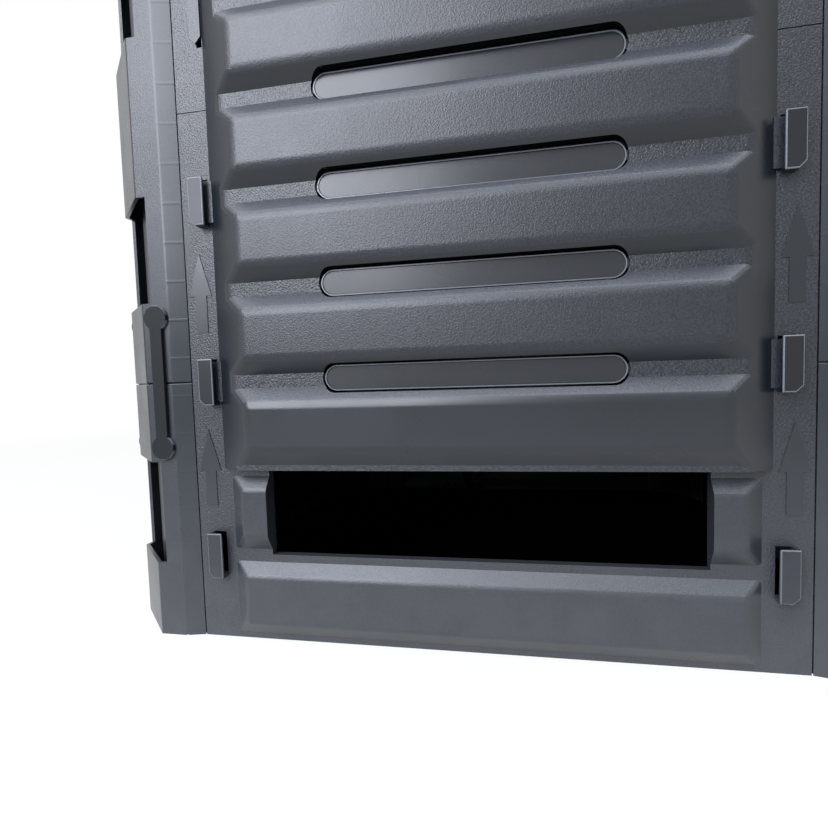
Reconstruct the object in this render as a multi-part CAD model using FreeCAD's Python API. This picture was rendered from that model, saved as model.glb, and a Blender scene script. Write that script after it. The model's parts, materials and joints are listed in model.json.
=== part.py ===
import FreeCAD, Part
import math
import os

from FreeCAD import Vector

# Compost bin with lid: an open-bottomed square bin of louvred plastic walls held between
# four built-up corner posts, with a lift-off raking door low on the front and a lid with
# two flaps. Millimetres, +Z up, origin on the ground at the middle of the bin. The front,
# with the door, looks towards -Y. "Proud" is a distance outwards from the wall strip plane.

# Louvre pattern shared by the walls and the door
PITCH = 64.0
BANDS = 6
GROOVE_ABOVE = 4.0
GROOVE_BELOW = 5.5
FACE_START = 14.5
FACE_END = 49.0

# Walls
WALL_W = 412.0
WALL_T = 3.0
BAND_PROUD = 7.0
STRIP_W = 29.0
BAND_END_RUN = 10.5
SEAM = 0.9
STACK_GAP = 0.6
TONGUE_T = 2.0
TONGUE_SET = 0.4
TONGUE_ROOT = 8.0
LAP_H = 10.0
LAP_INSET = 6.5
FIT = 0.3

# Corner posts
POST_SLOPE_W = 14.0
POST_FLAT_W = 21.5
POST_PROUD = 3.5
CHAMFER_RUN = 41.5
POST_T = 2.7
CURTAIN_T = 2.5
CURTAIN_OFFSET = 2.0
CURTAIN_DEPTH = 13.0
CURTAIN_SHOULDER = 4.0
WINDOW_EDGE = 8.0
HALF_BRIDGE_H = 59.0
WINDOW_H = 77.0
SPIGOT_H = 12.0
SPIGOT_HALF = 14.0
SPIGOT_WALL = 2.5
SPIGOT_SEAT = 1.0
PLUG_ROOM = 4.0
LIP_T = 2.0
LIP_START = 2.0

# Dog-bone clips across the post seams
CLIP_D = 18.0
CLIP_BAR = 9.6
CLIP_T = 3.0
CLIP_REACH = 48.0
CLIP_PEG_W = 7.0
CLIP_PEG_L = 5.5
CLIP_INSET = 9.5

# Vent slots, each closed by a pan with an air gap around it, on a bar behind
SLOT_END = 67.0
SLOT_H = 20.0
PAN_SINK = 1.0
PAN_GAP = 1.3
PAN_BAR_HALF = 3.0
PAN_BAR_REACH = 6.0
WALL_PAN_T = 1.6

# Raking opening in the front lower wall
PAD_W = 29.0
OPENING_BANDS = 4
OPENING_RIM = 2.5
OPENING_RIM_BACK = 7.0

# Door and the pocket hooks that carry it
DOOR_GAP = 0.4
DOOR_T = 2.4
DOOR_LAP = 5.5
DOOR_GROOVE_PROUD = 10.4
DOOR_FACE_PROUD = 19.4
DOOR_SLOPE = 1.5
DOOR_FACE_END = 47.5
DOOR_PAN_T = 1.0
DOOR_HUNG_PITCHES = 2
EAR_H = 29.0
EAR_WEB_T = 1.4
EAR_PLAY = 0.9
EAR_SHY = 4.0
HOOK_CLEAR = 2.0
HOOK_W = 11.5
HOOK_H = 33.5
HOOK_BELOW = 17.0
HOOK_PROUD = 8.0
HOOK_T = 2.2
HOOK_CORNER = 4.0
HOOK_EVERY = 2

# Arrow marks and keeper tabs on the wall strips
ARROW_EDGE = 11.5
ARROW_HEAD_HALF = 8.6
ARROW_STEM_HALF = 4.4
ARROW_UP = 29.0
ARROW_NECK = 1.5
ARROW_DOWN = 28.0
ARROW_PROUD = 0.6
KEEPER_CLEAR = 0.7
KEEPER_W = 8.4
KEEPER_H = 37.0
KEEPER_PROUD = 1.6

# Lid frame
LID_OVERHANG = 17.0
LID_CORNER_TRIM = 11.5
LID_T = 3.0
SKIRT_H = 26.0
RIM_SIDE = 62.0
RIM_END = 50.0
CURB_T = 2.5
CURB_H = 12.0
LOCATOR_INSET = 16.0
LOCATOR_H = 16.0
LOCATOR_T = 2.5
LOCATOR_GAP = 0.5

# Lid flaps and their hinges
FLAP_T = 2.5
FLAP_OVER_HINGE = 3.0
FLAP_OVER = 9.5
FLAP_LIP_H = 10.0
FLAP_PAD_PROUD = 5.0
FLAP_PAD_SLOPE = 9.0
FLAP_PAD_MARGIN = 16.0
FLAP_PAD_MID = 88.0
FLAP_PADS_PER_SIDE = 2
FLAP_PAD_GAP = 14.0
GRIP_HALF = 60.0
GRIP_OUT = 12.0
HINGE_X = 50.0
HINGE_REACH = 8.5
HINGE_RISE = 2.7
HINGE_Y = 150.0
KNUCKLE_R = 6.5
KNUCKLE_HALF = 15.0
LUG_T = 8.0
LUG_FOOT_HALF = 5.0
PIN_D = 6.0
PIN_CLEAR = 0.05
PIN_HEAD_D = 10.0
PIN_HEAD_T = 3.0

# Lid locks
LOCK_INSET = 24.0
LOCK_SHAFT_D = 10.0
LOCK_BORE_CLEAR = 0.3
LOCK_CAP_D = 44.0
LOCK_CAP_T = 5.0
LOCK_GRIP_W = 10.0
LOCK_GRIP_H = 11.0
LOCK_GRIP_INSET = 1.0
LOCK_TONGUE_L = 64.0
LOCK_TONGUE_W = 16.0
LOCK_TONGUE_T = 5.0
LOCK_TONGUE_DROP = 0.5
LOCK_SQUARE = 7.0
SCREW_D = 3.5
SCREW_HEAD_D = 11.0
SCREW_HEAD_T = 2.5
SCREW_L = 14.0

# Derived sizes
TIER_H = PITCH * BANDS
BODY_H = 2 * TIER_H
WALL_HALF = WALL_W / 2
BAND_FOOT_HALF = WALL_HALF - STRIP_W
BAND_FACE_HALF = BAND_FOOT_HALF - BAND_END_RUN
LAP_HALF = BAND_FACE_HALF - LAP_INSET
SLOT_L = 2 * (BAND_FACE_HALF - SLOT_END)
OPENING_HALF = BAND_FOOT_HALF - PAD_W
DOOR_HALF = BAND_FOOT_HALF + DOOR_LAP
HOOK_INNER = DOOR_HALF + HOOK_CLEAR
HOOK_OUTER = HOOK_INNER + HOOK_W
ARROW_X = WALL_HALF - ARROW_EDGE
KEEPER_INNER = DOOR_HALF + KEEPER_CLEAR
KEEPER_OUTER = KEEPER_INNER + KEEPER_W
LOCATOR_HALF = WALL_HALF - LOCATOR_INSET
HALF = WALL_HALF + POST_SLOPE_W + POST_FLAT_W + CHAMFER_RUN - POST_PROUD
POST_FACE = HALF + POST_PROUD
RIDGE = WALL_HALF + POST_SLOPE_W
CORNER = RIDGE + POST_FLAT_W
LID_HALF = POST_FACE + LID_OVERHANG
LID_CORNER = CHAMFER_RUN + LID_CORNER_TRIM
FILL_X1 = LID_HALF - RIM_SIDE
FILL_Y = LID_HALF - RIM_END
LOCK_X = FILL_X1 - LOCK_INSET
SEAM_EDGE = WALL_HALF - SEAM / 2
POST_EDGE = WALL_HALF + SEAM / 2
DECK_Z = BODY_H + FIT
DECK_TOP = DECK_Z + LID_T
CURB_TOP = DECK_TOP + CURB_H
TONGUE_FRONT = WALL_T + TONGUE_SET
TONGUE_BACK = TONGUE_FRONT + TONGUE_T
CURTAIN_START = RIDGE + CURTAIN_OFFSET
FLAP_Z = CURB_TOP + FIT
HINGE_Z = FLAP_Z + HINGE_RISE
HINGE_YS = (-HINGE_Y, HINGE_Y)
FLAP_X0 = HINGE_X + HINGE_REACH
FILL_X0 = FLAP_X0 + FLAP_OVER_HINGE + CURB_T
FLAP_X1 = FILL_X1 + CURB_T + FLAP_OVER
FLAP_Y = FILL_Y + CURB_T + FLAP_OVER
TONGUE_END = CURTAIN_START - CURTAIN_T - FIT
DOOR_HUNG = DOOR_HUNG_PITCHES * PITCH
ROOT2 = math.sqrt(2)

# Overlap of fused pieces, and how far a cutting tool runs past what it cuts
EPS = 0.05
CUT_OVER = 1.0


def front(proud):
    """Y of a plane that stands a given distance proud of the front strips."""
    return -(HALF + proud)


def box(x0, x1, y0, y1, z0, z1):
    """Box between two corners, given in any order along each axis."""
    low = Vector(min(x0, x1), min(y0, y1), min(z0, z1))
    return Part.makeBox(abs(x1 - x0), abs(y1 - y0), abs(z1 - z0), low)


def front_box(x0, x1, proud0, proud1, z0, z1):
    """Box on the front wall, between two distances proud of the strips."""
    return box(x0, x1, front(proud0), front(proud1), z0, z1)


def prism(points, z0, z1):
    """Upright prism on a closed outline in plan."""
    corners = [Vector(x, y, z0) for x, y in points]
    face = Part.Face(Part.makePolygon(corners + corners[:1]))
    return face.extrude(Vector(0, 0, z1 - z0))


def front_plate(points, proud0, proud1):
    """Plate on the front wall with an outline given in x and z."""
    corners = [Vector(x, front(proud0), z) for x, z in points]
    face = Part.Face(Part.makePolygon(corners + corners[:1]))
    return face.extrude(Vector(0, front(proud1) - front(proud0), 0))


def cylinder(radius, start, direction, length):
    """Solid cylinder from a start point along a direction."""
    return Part.makeCylinder(radius, length, Vector(*start), Vector(*direction))


def fuse_all(shapes):
    """One clean solid from several overlapping ones."""
    joined = shapes[0]
    if len(shapes) > 1:
        joined = shapes[0].multiFuse(shapes[1:])
    return joined.removeSplitter()


def cut_all(base, tools):
    """Base with every tool taken away."""
    return base.cut(tools)


def quarter_turned(shape, quarters):
    """Copy turned about the upright axis by whole quarters."""
    turned = shape.copy()
    turned.rotate(Vector(0, 0, 0), Vector(0, 0, 1), 90 * quarters)
    return turned


def mirrored(shape):
    """Copy mirrored from the right side to the left."""
    return shape.mirror(Vector(0, 0, 0), Vector(1, 0, 0))


def rect_at(level, half, z0, z1):
    """Rectangle wire on a front plane."""
    y = front(level)
    corners = [Vector(-half, y, z0), Vector(half, y, z0), Vector(half, y, z1), Vector(-half, y, z1)]
    return Part.makePolygon(corners + corners[:1])


def pillow(foot, face, level0, level1, wall=0.0, start=0.0):
    """Four-sided raised band, or with a wall its inner hollow, which starts behind level0.

    foot and face are (half width, lower z, upper z) at level0 and level1.
    """
    rise = level1 - level0
    slopes = [(foot[0] - face[0]) / rise, (face[1] - foot[1]) / rise, (foot[2] - face[2]) / rise]
    insets = [wall * math.sqrt(1 + slope * slope) for slope in slopes]

    def section(level):
        run = level - level0
        half = foot[0] - slopes[0] * run - insets[0]
        low = foot[1] + slopes[1] * run + insets[1]
        high = foot[2] - slopes[2] * run - insets[2]
        return rect_at(level, half, low, high)

    return Part.makeLoft([section(level0 - start), section(level1 - wall)], True, True)


def obround(length, height, centre_z, proud0, proud1):
    """Stadium-shaped block through the front wall."""
    straight = (length - height) / 2
    radius = height / 2
    y = front(proud0)
    top = centre_z + radius
    low = centre_z - radius
    edges = [
        Part.LineSegment(Vector(-straight, y, low), Vector(straight, y, low)).toShape(),
        Part.Arc(Vector(straight, y, low), Vector(straight + radius, y, centre_z),
                 Vector(straight, y, top)).toShape(),
        Part.LineSegment(Vector(straight, y, top), Vector(-straight, y, top)).toShape(),
        Part.Arc(Vector(-straight, y, top), Vector(-straight - radius, y, centre_z),
                 Vector(-straight, y, low)).toShape(),
    ]
    face = Part.Face(Part.Wire(edges))
    return face.extrude(Vector(0, front(proud1) - front(proud0), 0))


def slot_hole(centre_z, proud0, proud1):
    """Hole of one vent slot."""
    return obround(SLOT_L, SLOT_H, centre_z, proud0, proud1)


def slot_pan(centre_z, groove_proud, thickness):
    """Pan in a vent slot, with the bar that carries it and the feet of the bar."""
    pan_front = groove_proud - PAN_SINK
    pan_back = pan_front - thickness
    bar_back = pan_back - thickness
    low = centre_z - PAN_BAR_HALF
    high = centre_z + PAN_BAR_HALF
    foot = SLOT_L / 2 + PAN_GAP
    end = SLOT_L / 2 + PAN_BAR_REACH
    pan = obround(SLOT_L - 2 * PAN_GAP, SLOT_H - 2 * PAN_GAP, centre_z, pan_back, pan_front)
    bar = front_box(-end, end, bar_back, pan_back + EPS, low, high)
    feet = [front_box(side * foot, side * end, bar_back, pan_front, low, high) for side in (-1, 1)]
    return [pan, bar] + feet


def wall_bands(base_z, count):
    """Raised bands of a wall and their hollows, from a tier's lower edge up."""
    blocks = []
    hollows = []
    for index in range(count):
        z = base_z + index * PITCH
        foot = (BAND_FOOT_HALF, z + GROOVE_ABOVE, z + PITCH - GROOVE_BELOW)
        face = (BAND_FACE_HALF, z + FACE_START, z + FACE_END)
        blocks.append(pillow(foot, face, 0.0, BAND_PROUD))
        hollows.append(pillow(foot, face, 0.0, BAND_PROUD, WALL_T, WALL_T + EPS))
    return blocks, hollows


def wall_tongues(z0, z1):
    """Stepped flanges at both edges, which slide down the grooves of the posts."""
    parts = []
    for side in (-1, 1):
        parts.append(front_box(side * (SEAM_EDGE - TONGUE_ROOT), side * SEAM_EDGE,
                               -TONGUE_BACK, -WALL_T, z0, z1))
        parts.append(front_box(side * (SEAM_EDGE - EPS), side * TONGUE_END,
                               -TONGUE_BACK, -TONGUE_FRONT, z0, z1))
    return parts


def wall_lap(z_top):
    """Upstand behind the top edge that laps the wall above."""
    root = z_top - 2 * WALL_T
    back_side = -WALL_T - FIT - TONGUE_T
    lower = front_box(-LAP_HALF, LAP_HALF, back_side, -WALL_T, root, z_top)
    upper = front_box(-LAP_HALF, LAP_HALF, back_side, -WALL_T - FIT, z_top - EPS, z_top + LAP_H)
    return [lower, upper]


def wall_blank(z0, z1):
    """Flat sheet of one wall."""
    return front_box(-SEAM_EDGE, SEAM_EDGE, -WALL_T, 0.0, z0, z1)


def keeper_tabs(centre_z):
    """Low tabs beside the louvres, each with a moulding hole at its lower inner corner."""
    tabs = []
    holes = []
    low = centre_z - KEEPER_H / 2
    high = centre_z + KEEPER_H / 2
    for side in (-1, 1):
        outline = [
            (side * KEEPER_INNER, low + 2 * HOOK_T),
            (side * (KEEPER_INNER + KEEPER_OUTER) / 2, low),
            (side * (KEEPER_OUTER - HOOK_CORNER), low),
            (side * KEEPER_OUTER, low + HOOK_CORNER),
            (side * KEEPER_OUTER, high),
            (side * KEEPER_INNER, high),
        ]
        tabs.append(front_plate(outline, -EPS, KEEPER_PROUD))
        holes.append(front_box(side * KEEPER_INNER, side * (KEEPER_INNER + KEEPER_OUTER) / 2,
                               -WALL_T - EPS, EPS, low - HOOK_T, low + 2 * HOOK_T))
    return tabs, holes


def plain_wall(tier):
    """Wall of one tier with six bands, five vent slots and keeper tabs."""
    z0 = tier * TIER_H
    z1 = z0 + TIER_H
    bottom = z0 + (STACK_GAP if tier else 0.0)
    blocks, hollows = wall_bands(z0, BANDS)
    tabs, tab_holes = keeper_tabs(z0 + PITCH)
    shell = fuse_all([wall_blank(bottom, z1)] + blocks + tabs)
    slots = [z0 + index * PITCH for index in range(1, BANDS)]
    holes = [slot_hole(z, -WALL_T - 2 * EPS, BAND_PROUD + CUT_OVER) for z in slots]
    shell = cut_all(shell, hollows + holes + tab_holes)
    extras = wall_tongues(bottom, z1)
    if tier == 0:
        extras += wall_lap(z1)
    for z in slots:
        extras += slot_pan(z, 0.0, WALL_PAN_T)
    return fuse_all([shell] + extras)


def hook(side, centre_z):
    """Pocket on a strip, open at its top and towards the door."""
    low = centre_z - HOOK_BELOW
    high = low + HOOK_H
    inner = side * HOOK_INNER
    outer = side * HOOK_OUTER
    outline = [
        (inner, low),
        (outer - side * HOOK_CORNER, low),
        (outer, low + HOOK_CORNER),
        (outer, high),
        (inner, high),
    ]
    block = front_plate(outline, -EPS, HOOK_PROUD)
    edge = outer - side * HOOK_T
    pocket = front_box(inner - side * CUT_OVER, edge, -2 * EPS, HOOK_PROUD - HOOK_T,
                       low + HOOK_T, high + CUT_OVER)
    return block.cut(pocket)


def hook_hole(side, centre_z):
    """Moulding hole in the strip behind a hook."""
    low = centre_z - HOOK_BELOW + HOOK_T
    return front_box(side * HOOK_INNER, side * (HOOK_OUTER - HOOK_T), -WALL_T - EPS, EPS,
                     low, low + HOOK_H - HOOK_T)


def arrow(side, centre_z):
    """Raised arrow that shows which way the door lifts."""
    x = side * ARROW_X
    neck = centre_z - ARROW_NECK
    outline = [
        (x, centre_z + ARROW_UP),
        (x + ARROW_HEAD_HALF, neck),
        (x + ARROW_STEM_HALF, neck),
        (x + ARROW_STEM_HALF, centre_z - ARROW_DOWN),
        (x - ARROW_STEM_HALF, centre_z - ARROW_DOWN),
        (x - ARROW_STEM_HALF, neck),
        (x - ARROW_HEAD_HALF, neck),
    ]
    return front_plate(outline, -EPS, ARROW_PROUD)


def front_lower_wall():
    """Front lower wall with the raking opening, the door hooks and the arrows."""
    blocks, hollows = wall_bands(0.0, BANDS)
    solid = fuse_all([wall_blank(0.0, TIER_H)] + blocks)
    z0 = PITCH
    z1 = PITCH * (1 + OPENING_BANDS)
    reach = BAND_PROUD + CUT_OVER
    ring = front_box(-OPENING_HALF - OPENING_RIM, OPENING_HALF + OPENING_RIM,
                     -OPENING_RIM_BACK, reach, z0 - OPENING_RIM, z1 + OPENING_RIM)
    closing = solid.common(ring)
    rim = front_box(-OPENING_HALF - OPENING_RIM, OPENING_HALF + OPENING_RIM,
                    -OPENING_RIM_BACK, -EPS, z0 - OPENING_RIM, z1 + OPENING_RIM)
    hook_zs = [PITCH * step for step in range(1, BANDS, HOOK_EVERY)]
    arrow_zs = [PITCH * step for step in range(2, BANDS, HOOK_EVERY)]
    holes = [hook_hole(side, z) for side in (-1, 1) for z in hook_zs]
    shell = cut_all(solid, hollows + holes)
    extras = wall_tongues(0.0, TIER_H) + wall_lap(TIER_H)
    extras += [hook(side, z) for side in (-1, 1) for z in hook_zs]
    extras += [arrow(side, z) for side in (-1, 1) for z in arrow_zs]
    wall = fuse_all([shell, closing, rim] + extras)
    opening = front_box(-OPENING_HALF, OPENING_HALF, -OPENING_RIM_BACK - CUT_OVER, reach, z0, z1)
    return wall.cut(opening)


def door():
    """Louvred door shell with four ears, hung two louvres above the ground."""
    z0 = DOOR_HUNG
    z1 = z0 + TIER_H
    groove_half = DOOR_HALF - DOOR_SLOPE * (DOOR_GROOVE_PROUD - DOOR_GAP)
    face_half = groove_half - DOOR_SLOPE * (DOOR_FACE_PROUD - DOOR_GROOVE_PROUD)
    tray_foot = (DOOR_HALF, z0, z1)
    tray_face = (groove_half, z0, z1)
    tray = pillow(tray_foot, tray_face, DOOR_GAP, DOOR_GROOVE_PROUD)
    slant = DOOR_T * math.sqrt(1 + DOOR_SLOPE * DOOR_SLOPE)
    inner_top = DOOR_GROOVE_PROUD - DOOR_T
    inner_foot = (DOOR_HALF - slant, z0 - CUT_OVER, z1 + CUT_OVER)
    inner_face = (DOOR_HALF - slant - DOOR_SLOPE * (inner_top - DOOR_GAP), z0 - CUT_OVER, z1 + CUT_OVER)
    tray_hollow = pillow(inner_foot, inner_face, DOOR_GAP, inner_top, 0.0, CUT_OVER)
    blocks = []
    hollows = [tray_hollow]
    for index in range(BANDS):
        z = z0 + index * PITCH
        foot = (groove_half, z + GROOVE_ABOVE, z + PITCH - GROOVE_BELOW)
        face = (face_half, z + FACE_START, z + DOOR_FACE_END)
        blocks.append(pillow(foot, face, DOOR_GROOVE_PROUD, DOOR_FACE_PROUD))
        hollows.append(pillow(foot, face, DOOR_GROOVE_PROUD, DOOR_FACE_PROUD, DOOR_T, DOOR_T + EPS))
    slots = [z0 + index * PITCH for index in range(1, BANDS)]
    holes = [slot_hole(z, 0.0, DOOR_FACE_PROUD + CUT_OVER) for z in slots]
    shell = cut_all(fuse_all([tray] + blocks), hollows + holes)
    extras = []
    for z in slots:
        extras += slot_pan(z, DOOR_GROOVE_PROUD, DOOR_PAN_T)
    ear_reach = HOOK_OUTER - HOOK_T - FIT
    ear_back = ARROW_PROUD + FIT
    for step in (1, 1 + HOOK_EVERY):
        low = z0 + step * PITCH - HOOK_BELOW + HOOK_T + FIT
        for side in (-1, 1):
            extras.append(front_box(side * (DOOR_HALF - slant / 2), side * ear_reach,
                                    ear_back, ear_back + EAR_WEB_T, low, low + EAR_H))
            extras.append(front_box(side * (HOOK_INNER + EAR_SHY), side * ear_reach,
                                    ear_back, HOOK_PROUD - HOOK_T - EAR_PLAY, low, low + EAR_H))
    return fuse_all([shell] + extras)


def offset_line(points, distance):
    """Open polyline moved sideways by a distance, mitred at its corners."""
    moved = []
    normals = []
    for (x0, y0), (x1, y1) in zip(points, points[1:]):
        length = math.hypot(x1 - x0, y1 - y0)
        normals.append(((y1 - y0) / length, -(x1 - x0) / length))
    for index, (x, y) in enumerate(points):
        before = normals[max(index - 1, 0)]
        after = normals[min(index, len(normals) - 1)]
        scale = distance / (1 + before[0] * after[0] + before[1] * after[1])
        moved.append((x + (before[0] + after[0]) * scale, y + (before[1] + after[1]) * scale))
    return moved


def ribbon(points, thickness):
    """Closed outline of a sheet that follows a polyline, to its inner side."""
    return points + offset_line(points, -thickness)[::-1]


def post_outline():
    """Outer line of the front right post in plan, from the front seam to the side seam."""
    half_line = [(POST_EDGE, HALF), (RIDGE, POST_FACE), (CORNER, POST_FACE)]
    other = [(b, a) for a, b in half_line[::-1]]
    return [(a, -b) for a, b in half_line + other]


def curtain_outline():
    """Line of the inner wall that closes the corner behind the windows."""
    depth = POST_FACE - CURTAIN_DEPTH
    plate_back = POST_FACE - POST_T / 2
    half_line = [(CURTAIN_START, plate_back), (CURTAIN_START, depth), (CORNER - CURTAIN_SHOULDER, depth)]
    other = [(b, a) for a, b in half_line[::-1]]
    return [(a, -b) for a, b in half_line + other]


def post_groove(z0, z1):
    """Lips behind both edges that make the grooves for the tongues of the walls."""
    inner = POST_EDGE + LIP_START
    outer = CURTAIN_START - EPS
    lips = []
    for near in (TONGUE_FRONT - FIT - LIP_T, TONGUE_BACK + FIT):
        far = near + LIP_T
        lips.append(box(inner, outer, front(-near), front(-far), z0, z1))
        lips.append(box(HALF - near, HALF - far, -inner, -outer, z0, z1))
    return lips


def diagonal_block(near, far, half, z0, z1):
    """Upright block across the corner, between two distances out along the diagonal."""
    points = []
    for out, across in ((near, -half), (far, -half), (far, half), (near, half)):
        points.append(((out + across) / ROOT2, -(out - across) / ROOT2))
    return prism(points, z0, z1)


def corner_room():
    """Distances along the diagonal to both sides of the room inside a post."""
    outer = (POST_FACE + CORNER) / ROOT2 - POST_T
    curtain = (CORNER - CURTAIN_SHOULDER + POST_FACE - CURTAIN_DEPTH) / ROOT2
    return curtain, outer


def spigot(z0, z1):
    """Hollow plug that fits the room inside a post."""
    curtain, outer = corner_room()
    near = curtain + FIT
    far = outer - FIT
    block = diagonal_block(near, far, SPIGOT_HALF, z0, z1)
    hollow = diagonal_block(near + SPIGOT_WALL, far - SPIGOT_WALL, SPIGOT_HALF - SPIGOT_WALL,
                            z0 - CUT_OVER, z1 + CUT_OVER)
    return block.cut(hollow)


def post_end_plate(z):
    """Plate that closes the room inside a post and carries its spigot."""
    curtain, outer = corner_room()
    return diagonal_block(curtain - EPS, outer + EPS, SPIGOT_HALF + SPIGOT_SEAT, z - SPIGOT_WALL, z)


def post_windows(z0, pieces):
    """Window heights of a post, from its rows of (kind, height) upwards."""
    windows = []
    z = z0
    for kind, height in pieces:
        if kind == "window":
            windows.append((z, z + height))
        z += height
    return windows


def post(z0, z1, windows, with_spigot, peg_zs):
    """Front right post piece: outer skin with windows, inner wall, grooves and spigot."""
    low = z0 + (STACK_GAP / 2 if z0 else 0.0)
    high = z1 - (STACK_GAP / 2 if z1 < BODY_H else 0.0)
    skin = prism(ribbon(post_outline(), POST_T), low, high)
    edge = CORNER - WINDOW_EDGE
    past = POST_FACE + CUT_OVER
    cutters = [box(edge, past, -edge, -past, a, b) for a, b in windows]
    clip_x = RIDGE + CLIP_INSET
    half = CLIP_PEG_W / 2 + FIT
    for z in peg_zs:
        hole = front_box(clip_x - half, clip_x + half, POST_PROUD + CUT_OVER,
                         POST_PROUD - POST_T - CUT_OVER, z - half, z + half)
        cutters += [hole, hole.mirror(Vector(0, 0, 0), Vector(1, 1, 0))]
    skin = cut_all(skin, cutters)
    curtain = prism(ribbon(curtain_outline(), CURTAIN_T), low, high)
    parts = [skin, curtain] + post_groove(low, high)
    if with_spigot:
        parts.append(post_end_plate(high))
        parts.append(spigot(high - EPS, z1 + SPIGOT_H))
    else:
        parts.append(post_end_plate(high - SPIGOT_H - PLUG_ROOM))
    return fuse_all(parts)


def clip(seam_z):
    """Dog-bone clip on the front facet of the front right post, with its two square pegs."""
    x = RIDGE + CLIP_INSET
    y = front(POST_PROUD)
    radius = CLIP_D / 2
    half = CLIP_BAR / 2
    neck = CLIP_REACH - math.sqrt(radius * radius - half * half)
    edges = []
    for end in (-1, 1):
        z = seam_z + end * neck
        tip = seam_z + end * (CLIP_REACH + radius)
        edges.append(Part.Arc(Vector(x - end * half, y, z), Vector(x, y, tip),
                              Vector(x + end * half, y, z)).toShape())
        edges.append(Part.LineSegment(Vector(x + end * half, y, z),
                                      Vector(x + end * half, y, seam_z - end * neck)).toShape())
    bar = Part.Face(Part.Wire(edges)).extrude(Vector(0, -CLIP_T, 0))
    peg = CLIP_PEG_W / 2
    pegs = [box(x - peg, x + peg, y - CLIP_T / 2, y + CLIP_PEG_L, z - peg, z + peg)
            for z in (seam_z - CLIP_REACH, seam_z + CLIP_REACH)]
    return fuse_all([bar] + pegs)


def clip_pair(seam_z):
    """Clips on the front facet and on the side facet of one post seam."""
    on_front = clip(seam_z)
    on_side = on_front.mirror(Vector(0, 0, 0), Vector(1, 1, 0))
    return Part.Compound([on_front, on_side])


def lid_outline(half, corner):
    """Square with its corners cut off."""
    far = half - corner
    return [(-far, -half), (far, -half), (half, -far), (half, far),
            (far, half), (-far, half), (-half, far), (-half, -far)]


def hinge_lugs(side):
    """Pairs of lugs on the bar of the lid frame that hold the pins of one flap."""
    parts = []
    for y in HINGE_YS:
        for end in (-1, 1):
            near = y + end * (KNUCKLE_HALF + FIT)
            far = near + end * LUG_T
            barrel = cylinder(KNUCKLE_R, (side * HINGE_X, min(near, far), HINGE_Z), (0, 1, 0), LUG_T)
            foot = box(side * (HINGE_X - LUG_FOOT_HALF), side * (HINGE_X + LUG_FOOT_HALF),
                       near, far, DECK_TOP - EPS, HINGE_Z)
            parts.append(barrel)
            parts.append(foot)
    return parts


def hinge_bore(side):
    """Bores through the lugs and knuckles of one flap."""
    bores = []
    for y in HINGE_YS:
        reach = KNUCKLE_HALF + FIT + LUG_T + CUT_OVER
        bores.append(cylinder(PIN_D / 2 + PIN_CLEAR, (side * HINGE_X, y - reach, HINGE_Z),
                              (0, 1, 0), 2 * reach))
    return bores


def lid_frame():
    """Deck with a skirt, two filling openings with curbs, the hinge bar and corner plugs."""
    outer = lid_outline(LID_HALF, LID_CORNER)
    inner_corner = LID_CORNER - LID_T * (2 - ROOT2)
    inner = lid_outline(LID_HALF - LID_T, inner_corner)
    deck = prism(outer, DECK_Z, DECK_TOP)
    skirt = prism(outer, DECK_TOP - SKIRT_H, DECK_TOP).cut(
        prism(inner, DECK_TOP - SKIRT_H - CUT_OVER, DECK_Z))
    parts = [deck, skirt]
    openings = []
    for side in (-1, 1):
        parts.append(box(side * (FILL_X0 - CURB_T), side * (FILL_X1 + CURB_T),
                         -FILL_Y - CURB_T, FILL_Y + CURB_T, DECK_TOP - EPS, CURB_TOP))
        openings.append(box(side * FILL_X0, side * FILL_X1, -FILL_Y, FILL_Y,
                            DECK_Z - CUT_OVER, CURB_TOP + CUT_OVER))
        parts += hinge_lugs(side)
    flange_out = HALF - WALL_T - LOCATOR_GAP
    locator = box(-LOCATOR_HALF, LOCATOR_HALF, -flange_out, -flange_out + LOCATOR_T,
                  DECK_Z - LOCATOR_H, DECK_Z + EPS)
    parts += [quarter_turned(locator, quarter) for quarter in range(4)]
    plug = spigot(DECK_Z - SPIGOT_H, DECK_Z + EPS)
    parts += [quarter_turned(plug, quarter) for quarter in range(4)]
    bores = hinge_bore(-1) + hinge_bore(1)
    return cut_all(fuse_all(parts), openings + bores)


def flap_pads():
    """Raised pads on the flap and their hollows."""
    pads = []
    hollows = []
    first = FLAP_PAD_MID / 2
    last = FLAP_Y - FLAP_PAD_MARGIN
    width = (last - first - FLAP_PAD_GAP * (FLAP_PADS_PER_SIDE - 1)) / FLAP_PADS_PER_SIDE
    for side in (-1, 1):
        for index in range(FLAP_PADS_PER_SIDE):
            y0 = first + index * (width + FLAP_PAD_GAP)
            y1 = y0 + width
            pads.append(upright_pad(side, y0, y1, 0.0))
            hollows.append(upright_pad(side, y0, y1, FLAP_T))
    return pads, hollows


def upright_pad(side, y0, y1, wall):
    """Raised pad of a flap, or with a wall the hollow beneath it."""
    slope = FLAP_PAD_SLOPE / FLAP_PAD_PROUD
    inset = wall * math.sqrt(1 + slope * slope)
    top = FLAP_Z + FLAP_T
    sections = []
    start = -FLAP_T - EPS if wall else 0.0
    for rise in (start, FLAP_PAD_PROUD - wall):
        inward = inset + slope * rise
        xs = (FLAP_X0 + FLAP_PAD_MARGIN + inward, FLAP_X1 - FLAP_PAD_MARGIN - inward)
        ys = (side * (y0 + inward), side * (y1 - inward))
        corners = [Vector(x, y, top + rise) for x, y in
                   ((xs[0], ys[0]), (xs[1], ys[0]), (xs[1], ys[1]), (xs[0], ys[1]))]
        sections.append(Part.makePolygon(corners + corners[:1]))
    return Part.makeLoft(sections, True, True)


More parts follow.
